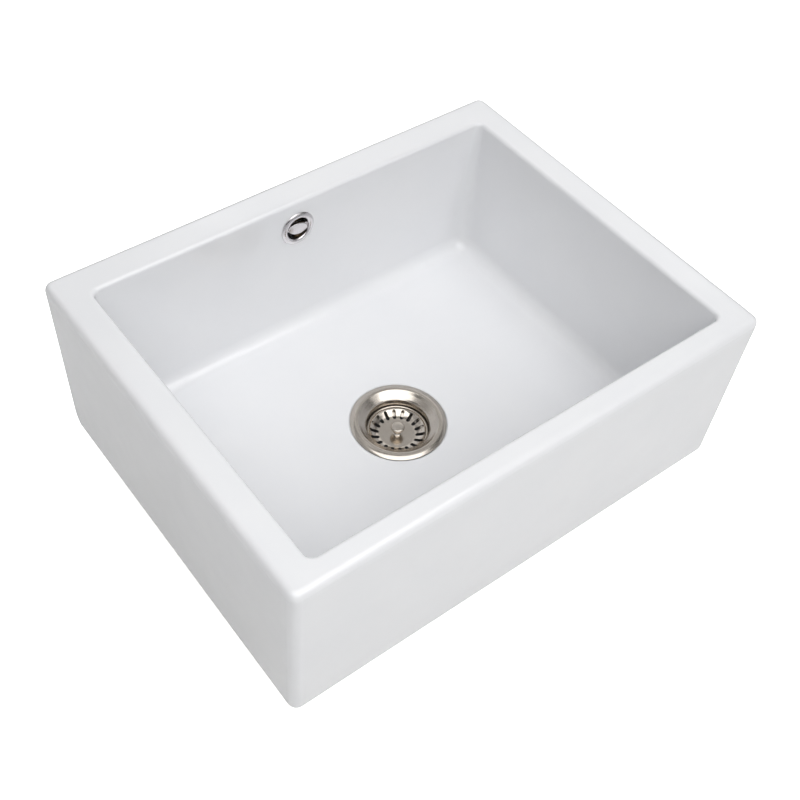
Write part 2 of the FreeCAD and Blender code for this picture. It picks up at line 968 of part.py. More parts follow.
pull = overflow_body("overflow_screw")
turned(
    pull,
    "Screw",
    [
        (0, S.pull_screw_end),
        (S.pull_screw_shank - 0.6, S.pull_screw_end),
        (S.pull_screw_shank, S.pull_screw_end + 0.6),
        (S.pull_screw_shank, S.bar_back + 0.4),
        (S.pull_screw_head, S.bar_front - 0.1),
        (0, S.bar_front - 0.1),
    ],
)

bridge = overflow_body("overflow_bridge")
bridge_low = S.bridge_front - S.bridge_thickness
plate = outline(
    sketch_on(bridge, "Bridge_profile", "XY_Plane", bridge_low),
    [
        (-S.bridge_length / 2, -S.bridge_width / 2),
        (S.bridge_length / 2, -S.bridge_width / 2),
        (S.bridge_length / 2, S.bridge_width / 2),
        (-S.bridge_length / 2, S.bridge_width / 2),
    ],
)
circle(plate, 0, 0, S.bridge_bore)
extruded(bridge, "Bridge", plate, S.bridge_thickness)

# ---------------------------------------------------------------- check and write

doc.recompute()
bodies = [o for o in doc.Objects if o.TypeId == "PartDesign::Body"]
bad = [o.Name for o in doc.Objects if "Invalid" in o.State or "Error" in o.State]
for b in bodies:
    if b.Shape.isNull() or not b.Shape.isValid() or not b.Shape.Solids:
        bad.append(b.Label)
if bad:
    raise RuntimeError(f"these objects did not build: {bad}")

os.makedirs("parts", exist_ok=True)
for b in bodies:
    b.Shape.exportStep(os.path.join("parts", b.Label + ".step"))
    lo, hi = b.Shape.BoundBox, b.Shape.Volume
    print(
        f"{b.Label:18s} solids {len(b.Shape.Solids)} volume {hi:12.1f} "
        f"x {lo.XMin:8.2f} {lo.XMax:8.2f} y {lo.YMin:8.2f} {lo.YMax:8.2f} z {lo.ZMin:8.2f} {lo.ZMax:8.2f}"
    )
    previous = 0.0
    for o in b.Group:
        if hasattr(o, "AddSubShape") or o.TypeId in (
            "PartDesign::Fillet",
            "PartDesign::PolarPattern",
        ):
            print(f"    {o.Name:28s} {o.Shape.Volume - previous:+14.2f}")
            previous = o.Shape.Volume
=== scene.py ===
import math

import bmesh
import bpy
from mathutils import Matrix, Vector, noise


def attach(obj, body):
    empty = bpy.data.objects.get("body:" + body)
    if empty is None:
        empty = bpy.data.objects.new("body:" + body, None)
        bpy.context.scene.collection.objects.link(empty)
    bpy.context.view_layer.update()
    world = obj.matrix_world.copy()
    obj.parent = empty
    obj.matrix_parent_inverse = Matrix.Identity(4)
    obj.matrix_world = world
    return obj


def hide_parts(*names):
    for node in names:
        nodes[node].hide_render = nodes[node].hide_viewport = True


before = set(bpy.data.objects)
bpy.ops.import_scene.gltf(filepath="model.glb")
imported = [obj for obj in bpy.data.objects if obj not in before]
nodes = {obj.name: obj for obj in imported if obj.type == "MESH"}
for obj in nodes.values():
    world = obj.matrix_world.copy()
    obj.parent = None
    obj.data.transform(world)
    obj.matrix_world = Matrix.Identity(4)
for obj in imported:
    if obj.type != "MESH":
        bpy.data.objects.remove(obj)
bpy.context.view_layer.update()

MM = 0.001

# Heights in millimetres. The fireclay stands DROP above the outlet's mouth, and the cup
# and basket are drawn from CUP above it.
DROP, CUP = 68.0, 70.5

# ---------------------------------------------------------------- outlines


def arc(p, q, radius, side, steps):
    """Points from p to q, without q, on an arc with its centre on the left (+1) or right (-1)."""
    a, b = Vector(p), Vector(q)
    along = b - a
    left = Vector((-along.y, along.x)) / along.length
    c = (a + b) / 2 + left * side * math.sqrt(max(radius**2 - along.length**2 / 4, 0))
    t0 = math.atan2(a.y - c.y, a.x - c.x)
    t1 = math.atan2(b.y - c.y, b.x - c.x)
    if side > 0 and t1 < t0:
        t1 += 2 * math.pi
    if side < 0 and t1 > t0:
        t1 -= 2 * math.pi
    return [
        (c.x + radius * math.cos(t0 + (t1 - t0) * k / steps), c.y + radius * math.sin(t0 + (t1 - t0) * k / steps))
        for k in range(steps)
    ]


def soft(points, steps=5):
    """A closed outline with its corners rounded: each point is (r, z) or (r, z, rounding)."""
    out = []
    n = len(points)
    for i, p in enumerate(points):
        here = Vector(p[:2])
        if len(p) < 3 or p[2] <= 0:
            out.append(tuple(here))
            continue
        before, after = Vector(points[i - 1][:2]) - here, Vector(points[(i + 1) % n][:2]) - here
        la, lb = before.length, after.length
        before, after = before / la, after / lb
        turn = math.acos(max(-1, min(1, before.dot(after))))
        cut = min(p[2] / math.tan(turn / 2), 0.48 * la, 0.48 * lb)
        radius = cut * math.tan(turn / 2)
        start, stop = here + before * cut, here + after * cut
        middle = here + (before + after).normalized() * (radius / math.sin(turn / 2))
        u, v = start - middle, stop - middle
        sweep = math.atan2(u.x * v.y - u.y * v.x, u.dot(v))
        for k in range(steps + 1):
            t = sweep * k / steps
            out.append(
                (
                    middle.x + u.x * math.cos(t) - u.y * math.sin(t),
                    middle.y + u.x * math.sin(t) + u.y * math.cos(t),
                )
            )
    return out


def divided(points, longest, closed=True):
    """The outline with no side longer than this."""
    out = []
    n = len(points)
    for i in range(n if closed else n - 1):
        a, b = Vector(points[i]), Vector(points[(i + 1) % n])
        parts = max(1, math.ceil((b - a).length / longest))
        out += [tuple(a.lerp(b, k / parts)) for k in range(parts)]
    if not closed:
        out.append(tuple(points[-1]))
    return out


# ---------------------------------------------------------------- meshes


def lathe(points, segments, turn=0.0):
    """A closed outline (r, z) turned about Z: (vertices, faces)."""
    verts, faces = [], []
    n = len(points)
    for s in range(segments):
        a = 2 * math.pi * s / segments + turn
        verts += [(r * math.cos(a), r * math.sin(a), z) for r, z in points]
    for s in range(segments):
        a, b = s * n, (s + 1) % segments * n
        for i in range(n):
            j = (i + 1) % n
            faces.append((a + i, b + i, b + j, a + j))
    return verts, faces


def prism(outline, low, high):
    """A flat outline (x, y) between two heights: (vertices, faces)."""
    n = len(outline)
    verts = [(x, y, low) for x, y in outline] + [(x, y, high) for x, y in outline]
    faces = [tuple(range(n))[::-1], tuple(range(n, 2 * n))]
    faces += [(i, (i + 1) % n, n + (i + 1) % n, n + i) for i in range(n)]
    return verts, faces


def joined(*meshes):
    verts, faces = [], []
    for v, f in meshes:
        k = len(verts)
        verts += list(v)
        faces += [tuple(i + k for i in face) for face in f]
    return verts, faces


def moved(mesh, matrix):
    v, f = mesh
    return [tuple(matrix @ Vector(p)) for p in v], f


def clean(me, sharp=32.0):
    """Closes the poles, turns the faces outward and keeps real corners sharp."""
    bm = bmesh.new()
    bm.from_mesh(me)
    bmesh.ops.remove_doubles(bm, verts=bm.verts, dist=2e-7)
    bmesh.ops.dissolve_degenerate(bm, edges=bm.edges, dist=1e-8)
    bmesh.ops.recalc_face_normals(bm, faces=bm.faces)
    limit = math.radians(sharp)
    for f in bm.faces:
        f.smooth = True
    for e in bm.edges:
        e.smooth = len(e.link_faces) != 2 or e.calc_face_angle(0) < limit
    bm.to_mesh(me)
    bm.free()


def piece(name, mesh, body, material, stands_for=(), lift=0.0, matrix=None, sharp=32.0, tidy=True):
    """A piece of the object, drawn in millimetres, put in metres where the frame has it."""
    me = bpy.data.meshes.new(name)
    m = matrix if matrix is not None else Matrix.Translation((0, 0, lift))
    me.from_pydata([tuple((m @ Vector(p)) * MM) for p in mesh[0]], [], mesh[1])
    for each in material if isinstance(material, (list, tuple)) else (material,):
        me.materials.append(each)
    me.validate()
    if tidy:
        clean(me, sharp)
    o = bpy.data.objects.new(name, me)
    bpy.context.scene.collection.objects.link(o)
    if body:
        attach(o, body)
    if stands_for:
        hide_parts(*stands_for)
    return o


def carve(target, tool, kind="DIFFERENCE", sharp=32.0):
    """A boolean, applied at once; the tool is then deleted."""
    mod = target.modifiers.new("cut", "BOOLEAN")
    mod.operation, mod.solver, mod.object = kind, "EXACT", tool
    dg = bpy.context.evaluated_depsgraph_get()
    made = bpy.data.meshes.new_from_object(target.evaluated_get(dg), depsgraph=dg)
    target.modifiers.remove(mod)
    old = target.data
    target.data = made
    made.name = old.name + "_cut"
    bpy.data.meshes.remove(old)
    bpy.data.objects.remove(tool)
    clean(made, sharp)
    return target


def tool(mesh, matrix=None, lift=0.0):
    return piece("tool", mesh, None, [], matrix=matrix, lift=lift)


# ---------------------------------------------------------------- materials


def shader(name):
    m = bpy.data.materials.new(name)
    m.use_nodes = True
    tree = m.node_tree
    bsdf = tree.nodes["Principled BSDF"]
    return m, tree, bsdf


def put(tree, kind, **values):
    n = tree.nodes.new(kind)
    for key, value in values.items():
        if key in n.inputs:
            n.inputs[key].default_value = value
        else:
            setattr(n, key, value)
    return n


def place(tree, scale=(1, 1, 1)):
    """Object coordinates in metres, stretched."""
    co = put(tree, "ShaderNodeTexCoord")
    mp = put(tree, "ShaderNodeMapping")
    mp.inputs["Scale"].default_value = scale
    tree.links.new(co.outputs["Object"], mp.inputs["Vector"])
    return mp.outputs["Vector"]


def speckle(tree, where, scale, detail=2.0, rough=0.5, low=0.35, high=0.65):
    n = put(tree, "ShaderNodeTexNoise", Scale=scale, Detail=detail, Roughness=rough)
    tree.links.new(where, n.inputs["Vector"])
    r = put(tree, "ShaderNodeMapRange")
    r.inputs["From Min"].default_value = low
    r.inputs["From Max"].default_value = high
    tree.links.new(n.outputs["Fac"], r.inputs["Value"])
    return r.outputs["Result"]


def blend_colour(tree, bsdf, amount, a, b):
    mix = put(tree, "ShaderNodeMix", data_type="RGBA")
    mix.inputs[6].default_value = (*a, 1)
    mix.inputs[7].default_value = (*b, 1)
    tree.links.new(amount, mix.inputs[0])
    tree.links.new(mix.outputs[2], bsdf.inputs["Base Color"])
    return mix


def spread_rough(tree, bsdf, amount, low, high):
    r = put(tree, "ShaderNodeMapRange")
    r.inputs["To Min"].default_value = low
    r.inputs["To Max"].default_value = high
    tree.links.new(amount, r.inputs["Value"])
    tree.links.new(r.outputs["Result"], bsdf.inputs["Roughness"])


def bump(tree, bsdf, height, distance, strength=1.0, under=None):
    b = put(tree, "ShaderNodeBump", Strength=strength, Distance=distance)
    tree.links.new(height, b.inputs["Height"])
    if under is not None:
        tree.links.new(under, b.inputs["Normal"])
    tree.links.new(b.outputs["Normal"], bsdf.inputs["Normal"])
    return b.outputs["Normal"]


def glaze():
    m, t, p = shader("white_glaze")
    p.inputs["IOR"].default_value = 1.52
    p.inputs["Coat Weight"].default_value = 0.4
    p.inputs["Coat Roughness"].default_value = 0.08
    here = place(t)
    blend_colour(t, p, speckle(t, here, 14, 3), (0.815, 0.822, 0.84), (0.83, 0.835, 0.85))
    spread_rough(t, p, speckle(t, here, 60, 3), 0.12, 0.17)
    slow = bump(t, p, speckle(t, here, 22, 1, 0.4, 0.2, 0.8), 0.00014)
    bump(t, p, speckle(t, here, 260, 2, 0.5, 0.2, 0.8), 0.000012, under=slow)
    return m


def biscuit():
    m, t, p = shader("unglazed_fireclay")
    p.inputs["IOR"].default_value = 1.45
    here = place(t)
    blend_colour(t, p, speckle(t, here, 240, 6, 0.7, 0.4, 0.7), (0.66, 0.6, 0.52), (0.76, 0.71, 0.64))
    spread_rough(t, p, speckle(t, here, 90, 3), 0.78, 0.95)
    bump(t, p, speckle(t, here, 700, 5, 0.7), 0.00015)
    return m


def steel(name, a, b, low, high, grain=0.0, stretch=(1, 1, 1)):
    m, t, p = shader(name)
    p.inputs["Metallic"].default_value = 1.0
    here = place(t, stretch)
    blend_colour(t, p, speckle(t, here, 90, 4), a, b)
    spread_rough(t, p, speckle(t, here, 160, 4), low, high)
    if grain:
        bump(t, p, speckle(t, here, 900, 3), grain)
    return m


def plain(name, a, b, low, high, grain, scale, ior=1.5, fine=None):
    m, t, p = shader(name)
    p.inputs["IOR"].default_value = ior
    here = place(t)
    blend_colour(t, p, speckle(t, here, scale * 0.25, 3), a, b)
    spread_rough(t, p, speckle(t, here, scale * 0.5, 3), low, high)
    bump(t, p, speckle(t, here, fine or scale, 3), grain)
    return m


GLAZE = glaze()
BISCUIT = biscuit()
STEEL = steel("satin_stainless", (0.54, 0.495, 0.445), (0.565, 0.52, 0.465), 0.21, 0.235)
PRESSED = steel("pressed_stainless", (0.585, 0.535, 0.475), (0.61, 0.56, 0.5), 0.17, 0.2)
POLISHED = steel("polished_steel", (0.755, 0.73, 0.74), (0.785, 0.76, 0.77), 0.2, 0.235)
SCREW = steel("screw_steel", (0.58, 0.57, 0.55), (0.68, 0.67, 0.65), 0.25, 0.4, 0.00001)
# Brass painted near-black: painted shade, for the bridge that sits in the shade inside the overflow hole.
BRASS_PAINTED_SHADE = steel("brass_painted_shade", (0.15, 0.105, 0.055), (0.22, 0.16, 0.085), 0.45, 0.6, 0.00001)
BRASS = steel("brass", (0.62, 0.46, 0.2), (0.72, 0.55, 0.27), 0.24, 0.4, 0.00001)
RUBBER = plain("black_rubber", (0.018, 0.018, 0.019), (0.03, 0.03, 0.031), 0.55, 0.75, 0.00003, 900)
WHITE = plain("white_moulded_plastic", (0.74, 0.74, 0.72), (0.79, 0.79, 0.775), 0.3, 0.42, 0.00002, 500)
BLACK = plain("black_moulded_plastic", (0.03, 0.03, 0.032), (0.045, 0.045, 0.047), 0.4, 0.55, 0.00002, 500)

for name, material in {
    "sink_bowl": GLAZE,
    "strainer_cup": STEEL,
    "basket_shell": PRESSED,
    "basket_knob": STEEL,
    "overflow_ring": POLISHED,
    "overflow_cap": POLISHED,
    "flange_gasket": RUBBER,
    "body_gasket": RUBBER,
    "basket_seal": RUBBER,
    # Black rubber grommet lining the overflow hole: a real seal, and also painted shade for the inside of the hole.
    "overflow_grommet": RUBBER,
    "waste_body": WHITE,
    "seal_carrier": BLACK,
    "threaded_insert": BRASS,
    # The bridge's brass is painted dark, as painted shade inside the overflow.
    "overflow_bridge": BRASS_PAINTED_SHADE,
    "centre_screw": SCREW,
    "screw_washer": SCREW,
    "seal_retainer": SCREW,
    "knob_washer": SCREW,
    "knob_screw": SCREW,
    "overflow_screw": SCREW,
}.items():
    o = nodes[name]
    o.data.materials.clear()
    o.data.materials.append(material)

# ---------------------------------------------------------------- the fireclay bowl

HALF, FRONT, BACK, TOP = 297.5, -220.5, 241.5, 225.4
DRAFT, FLOOR = 2.7, 37.5
CORNER, BEND, RIM_OUT, RIM_IN, COVE = 11.0, 26.0, 9.0, 5.0, 17.0
CORNER_STEPS, LONG_STEPS, SHORT_STEPS = 14, 62, 48


def ring(x0, x1, y0, y1, radius, z):
    """One closed row of points round a rounded rectangle."""
    pts = []
    corners = [(x1, y0, -90), (x1, y1, 0), (x0, y1, 90), (x0, y0, 180)]
    centres = []
    for x, y, start in corners:
        cx = x - radius if x == x1 else x + radius
        cy = y - radius if y == y1 else y + radius
        centres.append((cx, cy, start))
    steps = [SHORT_STEPS, LONG_STEPS, SHORT_STEPS, LONG_STEPS]
    for k, (cx, cy, start) in enumerate(centres):
        for i in range(CORNER_STEPS + 1):
            a = math.radians(start + 90 * i / CORNER_STEPS)
            pts.append((cx + radius * math.cos(a), cy + radius * math.sin(a), z))
        nx, ny, ns = centres[(k + 1) % 4]
        a = math.radians(start + 90)
        here = Vector((cx + radius * math.cos(a), cy + radius * math.sin(a)))
        there = Vector((nx + radius * math.cos(math.radians(ns)), ny + radius * math.sin(math.radians(ns))))
        for i in range(1, steps[k]):
            p = here.lerp(there, i / steps[k])
            pts.append((p.x, p.y, z))
    return pts


def outside(z):
    return DRAFT * (1 - z / TOP)


def inside_walls(z):
    t = (TOP - z) / (TOP - FLOOR)
    return (
        HALF - 36.8 - 3.7 * t,
        FRONT + 27.8 + 3.3 * t,
        BACK - 41.7 - 3.28 * t,
    )


def upright(z):
    """The inside corners' radius, which grows from the rim to the floor."""
    return 8.0 + 11.0 * (TOP - z) / (TOP - FLOOR)


def dish(r):
    return FLOOR - (1.5 * ((160 - r) / 102) ** 2 if r < 160 else 0.0)


def bowl_rows():
    rows = []

    def outer(z, inset, back_inset, radius):
        d = outside(z)
        rows.append(
            ring(-HALF + d + inset, HALF - d - inset, FRONT + d + inset, BACK - d - back_inset, radius, z)
        )

    heights = [CORNER * (1 - math.cos(math.radians(90 * k / 10))) for k in range(11)]
    lowest = BEND * (1 - math.cos(math.acos(1 - CORNER / BEND)))
    first = math.acos(1 - lowest / BEND)
    heights += [BEND * (1 - math.cos(first + (math.pi / 2 - first) * k / 8)) for k in range(1, 9)]
    for z in heights:
        small = CORNER - math.sqrt(max(CORNER**2 - (CORNER - min(z, CORNER)) ** 2, 0))
        large = BEND - math.sqrt(max(BEND**2 - (BEND - min(z, BEND)) ** 2, 0))
        outer(z, small, large, max(CORNER - small, 0.6))
    low, high = BEND, TOP - RIM_OUT
    for k in range(1, 27):
        outer(low + (high - low) * k / 26, 0, 0, CORNER)
    d = outside(high)
    for k in range(1, 13):
        a = math.radians(90 * k / 12)
        inset = RIM_OUT * (1 - math.cos(a))
        z = high + RIM_OUT * math.sin(a)
        rows.append(
            ring(-HALF + d + inset, HALF - d - inset, FRONT + d + inset, BACK - d - inset, CORNER - inset, z)
        )
    x, y0, y1 = inside_walls(TOP - RIM_IN)
    xo, yo0, yo1 = HALF - d - RIM_OUT, FRONT + d + RIM_OUT, BACK - d - RIM_OUT
    xi, yi0, yi1 = x + RIM_IN, y0 - RIM_IN, y1 + RIM_IN
    for k in range(1, 9):
        t = k / 8
        rows.append(
            ring(
                -(xo + (xi - xo) * t),
                xo + (xi - xo) * t,
                yo0 + (yi0 - yo0) * t,
                yo1 + (yi1 - yo1) * t,
                (CORNER - RIM_OUT) * (1 - t) + (upright(TOP - RIM_IN) + RIM_IN) * t,
                TOP,
            )
        )
    for k in range(1, 15):
        a = math.radians(90 * k / 14)
        out = RIM_IN * (1 - math.sin(a))
        z = TOP - RIM_IN * (1 - math.cos(a))
        rows.append(ring(-x - out, x + out, y0 - out, y1 + out, upright(TOP - RIM_IN) + out, z))
    low, high = FLOOR + COVE, TOP - RIM_IN
    for k in range(1, 27):
        z = high + (low - high) * k / 26
        x, y0, y1 = inside_walls(z)
        rows.append(ring(-x, x, y0, y1, upright(z), z))
    x, y0, y1 = inside_walls(low)
    for k in range(1, 17):
        a = math.radians(90 * k / 16)
        inset = COVE * (1 - math.cos(a))
        z = low - COVE * math.sin(a)
        rows.append(ring(-x + inset, x - inset, y0 + inset, y1 - inset, upright(low) - inset, z))
    edge = rows[-1]
    round_hole = [math.atan2(p[1], p[0]) for p in edge]

    def hole(r, z):
        rows.append([(r * math.cos(a), r * math.sin(a), z) for a in round_hole])

    for k in range(1, 41):
        t = (k / 40) ** 0.9
        row = []
        for p, a in zip(edge, round_hole):
            q = Vector(p[:2]).lerp(Vector((57.9 * math.cos(a), 57.9 * math.sin(a))), t)
            row.append((q.x, q.y, dish(q.length)))
        rows.append(row)
    hole(57.5, dish(58) - 0.12)
    hole(57.3, dish(58) - 0.5)
    hole(57.3, 34.0)
    hole(46.0, 34.0)
    hole(45.3, 33.7)
    hole(45.0, 33.0)
    for z in (29, 25, 20, 15, 10):
        hole(45.0, z)
    hole(45.0, 6.0)
    hole(51.0, 6.0)
    hole(58.0, 6.0)
    hole(58.0, 1.0)
    hole(58.5, 0.2)
    hole(59.5, 0.0)
    foot = rows[0]
    for k in range(1, 24):
        t = k / 24
        rows.append(
            [
                (
                    59.5 * math.cos(a) * (1 - t) + p[0] * t,
                    59.5 * math.sin(a) * (1 - t) + p[1] * t,
                    0.0,
                )
                for p, a in zip(foot, round_hole)
            ]
        )
    return rows


def bowl_mesh():
    rows = bowl_rows()
    n = len(rows[0])
    verts = [p for row in rows for p in row]
    faces = []
    for i in range(len(rows)):
        a, b = i * n, (i + 1) % len(rows) * n
        faces += [(a + j, a + (j + 1) % n, b + (j + 1) % n, b + j) for j in range(n)]
    return verts, faces


def hand_finished(o):
    """The slight unevenness of cast and hand-sponged clay, always inward."""
    me = o.data
    normals = [v.normal.copy() for v in me.vertices]
    for v, nrm in zip(me.vertices, normals):
        p = v.co
        r = math.hypot(p.x, p.y)
        ov = (p - Vector((-0.0055, 0.199, 0.256))).length
        keep = min(1, max(0, (r - 0.062) / 0.05)) * min(1, max(0, (ov - 0.024) / 0.04))
        if p.z < 0.0685:
            keep = 0
        wave = noise.noise(p * 7.0) * 0.6 + noise.noise(p * 17.0 + Vector((3, 1, 7))) * 0.25
        v.co = p - nrm * (0.00022 * keep * (wave + 0.6))
    me.update()


WALL_LEAN = 3.28 / (TOP - FLOOR)


def wall_face(z):
    return BACK - 44.98 + WALL_LEAN * (z - FLOOR)


OVERFLOW = Matrix.Translation((-5.5, wall_face(188), 188 + DROP)) @ Matrix.Rotation(math.radians(89), 4, "X")

bowl = piece("sink_bowl_glazed", bowl_mesh(), "sink", [GLAZE, BISCUIT], ["sink_bowl"], lift=DROP, sharp=40)
hand_finished(bowl)
profile = [
    (36, 12),
    (220, 12),
    (228, 20),
    (228, 205),
    (wall_face(205) + 14.4, 205),
    (wall_face(22) + 14.4, 22),
    (36, 22),
]
sideways = Matrix(((0, 0, 1, -5.5), (1, 0, 0, 0), (0, 1, 0, DROP), (0, 0, 0, 1)))
carve(bowl, tool(prism(profile, -24, 24), matrix=sideways), sharp=40)
hole = [(17 * math.cos(math.pi * k / 48), 17 * math.sin(math.pi * k / 48)) for k in range(96)]
carve(bowl, tool(prism(hole, -18, 6), matrix=OVERFLOW), sharp=40)
for face in bowl.data.polygons:
    if face.normal.z < -0.9 and face.center.z < 0.0683:
        face.material_index = 1

# ---------------------------------------------------------------- the strainer's cup


def cup_outline():
    pts = [(56.3, 33.0), *arc((56.3, 33.7), (49.5, 36.2), 12.5, 1, 14), (49.5, 36.2)]
    rest = soft(
        [
            (48.2, 36.2),
            (46.9, 36.1, 1.2),
            (43.7, 33.6, 2.5),
            (38.7, 30.2, 2.5),
            (36.8, 28.5, 1.5),
            (36.8, 14.0, 2.0),
            (34.0, 9.5, 2.0),
            (27.0, 3.0, 2.0),
            (26.0, -3.0, 1.2),
            (3.3, -3.0),
            (3.3, -4.0),
            (27.0, -4.0, 1.4),
            (28.0, 2.6, 1.4),
            (34.7, 8.8, 1.4),
            (37.8, 13.6, 1.4),
            (37.8, 28.2, 1.0),
            (39.5, 29.6, 1.0),
            (44.5, 33.0, 0.8),
            (55.3, 33.0),
        ],
        6,
    )
    return divided(pts + rest, 2.4)


cup = piece("strainer_cup_spun", lathe(cup_outline(), 192), "sink", STEEL, ["strainer_cup"], lift=CUP)
drains = []
for k in range(8):
    a = 2 * math.pi * k / 8
    c = (15.5 * math.cos(a), 15.5 * math.sin(a))
    drains.append(
        prism([(c[0] + 4 * math.cos(math.pi * i / 16), c[1] + 4 * math.sin(math.pi * i / 16)) for i in range(32)], -6, -2)
    )
carve(cup, tool(joined(*drains), lift=CUP))

# ---------------------------------------------------------------- the basket


def shell_outline():
    low = arc((20.8, 11.2), (33.9, 16.8), 24.0, 1, 10)
    high = arc((33.2, 17.2), (20.8, 12.0), 23.2, -1, 10)
    return divided(
        [(2.6, 12.0), (2.6, 11.2)] + low + [(33.9, 16.8), (34.6, 18.6), (33.9, 18.6)] + high + [(20.8, 12.0)],
        1.6,
    )


shell = piece("basket_pressed", lathe(shell_outline(), 216), "basket", PRESSED, ["basket_shell"], lift=CUP)
slots = []
for k in range(18):
    a = 2 * math.pi * k / 18
    outline = (
        [(23.6 + 2.1 * math.cos(t), 2.1 * math.sin(t)) for t in (math.radians(90 + 180 * i / 12) for i in range(13))]
        + [(30.5 + 2.1 * math.cos(t), 2.1 * math.sin(t)) for t in (math.radians(-90 + 180 * i / 12) for i in range(13))]
    )
    outline = [(x * math.cos(a) - y * math.sin(a), x * math.sin(a) + y * math.cos(a)) for x, y in outline]
    slots.append(prism(outline, 5, 17.6))
carve(shell, tool(joined(*slots), lift=CUP))
bead = [
    (34.7 + 1.25 * math.cos(math.radians(t)), 19.0 + 1.25 * math.sin(math.radians(t))) for t in range(0, 360, 20)
]
carve(shell, tool(lathe(bead, 216), lift=CUP), "UNION")

knob_points = (
    [(2.05, 12.0), (5.0, 12.0)]
    + arc((5.0, 13.0), (3.2, 14.6), 3.2, -1, 8)
    + soft([(3.2, 14.6), (3.2, 19.4, 1.5), (6.6, 21.6, 1.0), (8.0, 22.4, 0.6), (8.0, 23.6)], 6)
    + arc((8.0, 23.6), (6.2, 25.2), 2.2, 1, 8)[1:]
    + arc((6.2, 25.2), (0.0, 25.5), (6.2**2 + 0.3**2) / 0.6, 1, 8)
    + [(0.0, 25.5), (0.0, 20.5), (2.05, 20.5)]
)
knob = piece("basket_knob_turned", lathe(divided(knob_points, 1.0), 128), "basket", STEEL, ["basket_knob"], lift=CUP)

# ---------------------------------------------------------------- the overflow

ring_points = (
    [(14.6, -8.0), (15.85, -8.0), (15.85, 0.5), (21.5, 0.5)]
    + arc((21.5, 1.3), (17.2, 3.2), 6.2, 1, 12)
    + arc((17.2, 3.2), (14.6, 1.8), 3.4, 1, 10)
    + [(14.6, 1.8)]
)
ring_piece = piece("overflow_ring_turned", lathe(divided(ring_points, 1.2), 160), "sink", POLISHED, ["overflow_ring"], matrix=OVERFLOW)
turned_bar = Matrix.Rotation(math.radians(-13), 4, "Z")
bar = prism([(-14.9, -4.5), (14.9, -4.5), (14.9, 4.5), (-14.9, 4.5)], -3.5, -1.0)
carve(ring_piece, tool(moved(bar, turned_bar), matrix=OVERFLOW), "UNION")
carve(ring_piece, tool(lathe([(0, -4.5), (2.6, -4.5), (2.6, -3.1), (4.5, -1.0), (4.5, 0), (0, 0)], 48), matrix=OVERFLOW))


def lens_edge(a):
    """How far the lens reaches in a direction: within both long arcs and the two end arcs."""
    c, s = abs(math.cos(a)), abs(math.sin(a))
    half_chord, half_end, long_radius, end_radius = 13.2, 1.58, 17.5, 13.3
    drop = math.sqrt(long_radius**2 - half_chord**2) - half_end
    # the long arc's centre is drop below the middle line for the upper edge
    b = drop * s
    reach = -b + math.sqrt(b * b + long_radius**2 - drop * drop)
    off = math.sqrt(end_radius**2 - half_end**2) - half_chord
    b = off * c
    end = -b + math.sqrt(b * b + end_radius**2 - off * off)
    return min(reach, end)


def cap_mesh():
    around = 144
    turn = math.radians(-13)
    angles = [2 * math.pi * k / around for k in range(around)]
    radius = (14.2**2 + 1.4**2) / 2.8
    rows = []

    def level(r):
        return 2.6 - (radius - math.sqrt(radius**2 - r * r))

    for f in (0.0, 0.15, 0.3, 0.45, 0.6, 0.72, 0.82, 0.9, 0.95):
        rows.append([(f * lens_edge(a), a, level(f * lens_edge(a))) for a in angles])
    for k in range(1, 6):
        t = math.radians(90 * k / 5)
        rows.append(
            [
                (lens_edge(a) - 0.45 * (1 - math.sin(t)), a, level(lens_edge(a)) - 0.45 * (1 - math.cos(t)))
                for a in angles
            ]
        )
    for z in (0.2, -0.7):
        rows.append([(lens_edge(a), a, z) for a in angles])
    rows.append([(lens_edge(a) - 0.3, a, -1.0) for a in angles])
    rows.append([(0.0, a, -1.0) for a in angles])
    verts = [(r * math.cos(a + turn), r * math.sin(a + turn), z) for row in rows for r, a, z in row]
    faces = []
    for i in range(len(rows) - 1):
        for j in range(around):
            k = (j + 1) % around
            faces.append((i * around + j, (i + 1) * around + j, (i + 1) * around + k, i * around + k))
    return verts, faces


cap = piece("overflow_cap_domed", cap_mesh(), "sink", POLISHED, ["overflow_cap"], matrix=OVERFLOW)

# ---------------------------------------------------------------- the waste body


def waste_mesh():
    """The moulded funnel, with a real screw thread on its outlet."""
    segments = 180
    pitch, crest, root = 2.309, 23.9, 22.45
    top = soft(
        [
            (43.5, 3.0, 0.4),
            (43.5, -12.0, 5.0),
            (20.5, -34.0, 6.0),
            (20.5, -68.0, 0.5),
            (23.9, -68.0),
        ],
        6,
    )[:-1]
    thread = [(None, -67.7 + 0.165 * k) for k in range(165)]
    bottom = soft(
        [
            (23.9, -40.0),
            (25.0, -40.0, 0.4),
            (25.0, -34.5, 2.0),
            (46.5, -13.4, 4.0),
            (46.5, -1.0, 1.0),
            (56.0, -1.0, 0.8),
            (56.0, 3.0, 0.6),
        ],
        6,
    )
    top, bottom = divided(top, 3.0, False), divided(bottom, 3.0, False)
    outline = top + thread + bottom
    verts, faces = [], []
    n = len(outline)
    for s in range(segments):
        f = s / segments
        a = 2 * math.pi * f
        for r, z in outline:
            if r is None:
                t = ((z / pitch + f) % 1.0) * 2 - 1
                flank = min(1, max(0, (abs(t) - 0.12) / 0.76))
                depth = min(1, max(0, (-z - 41.5) / 1.6)) * min(1, max(0, (z + 67.6) / 1.0))
                flank = flank * flank * (3 - 2 * flank)
                r = crest - (crest - root) * flank * depth - 0.35 * (1 - min(1, max(0, (z + 67.9) / 0.7)))
            verts.append((r * math.cos(a), r * math.sin(a), z))
    for s in range(segments):
        a, b = s * n, (s + 1) % segments * n
        faces += [(a + i, b + i, b + (i + 1) % n, a + (i + 1) % n) for i in range(n)]
    return verts, faces


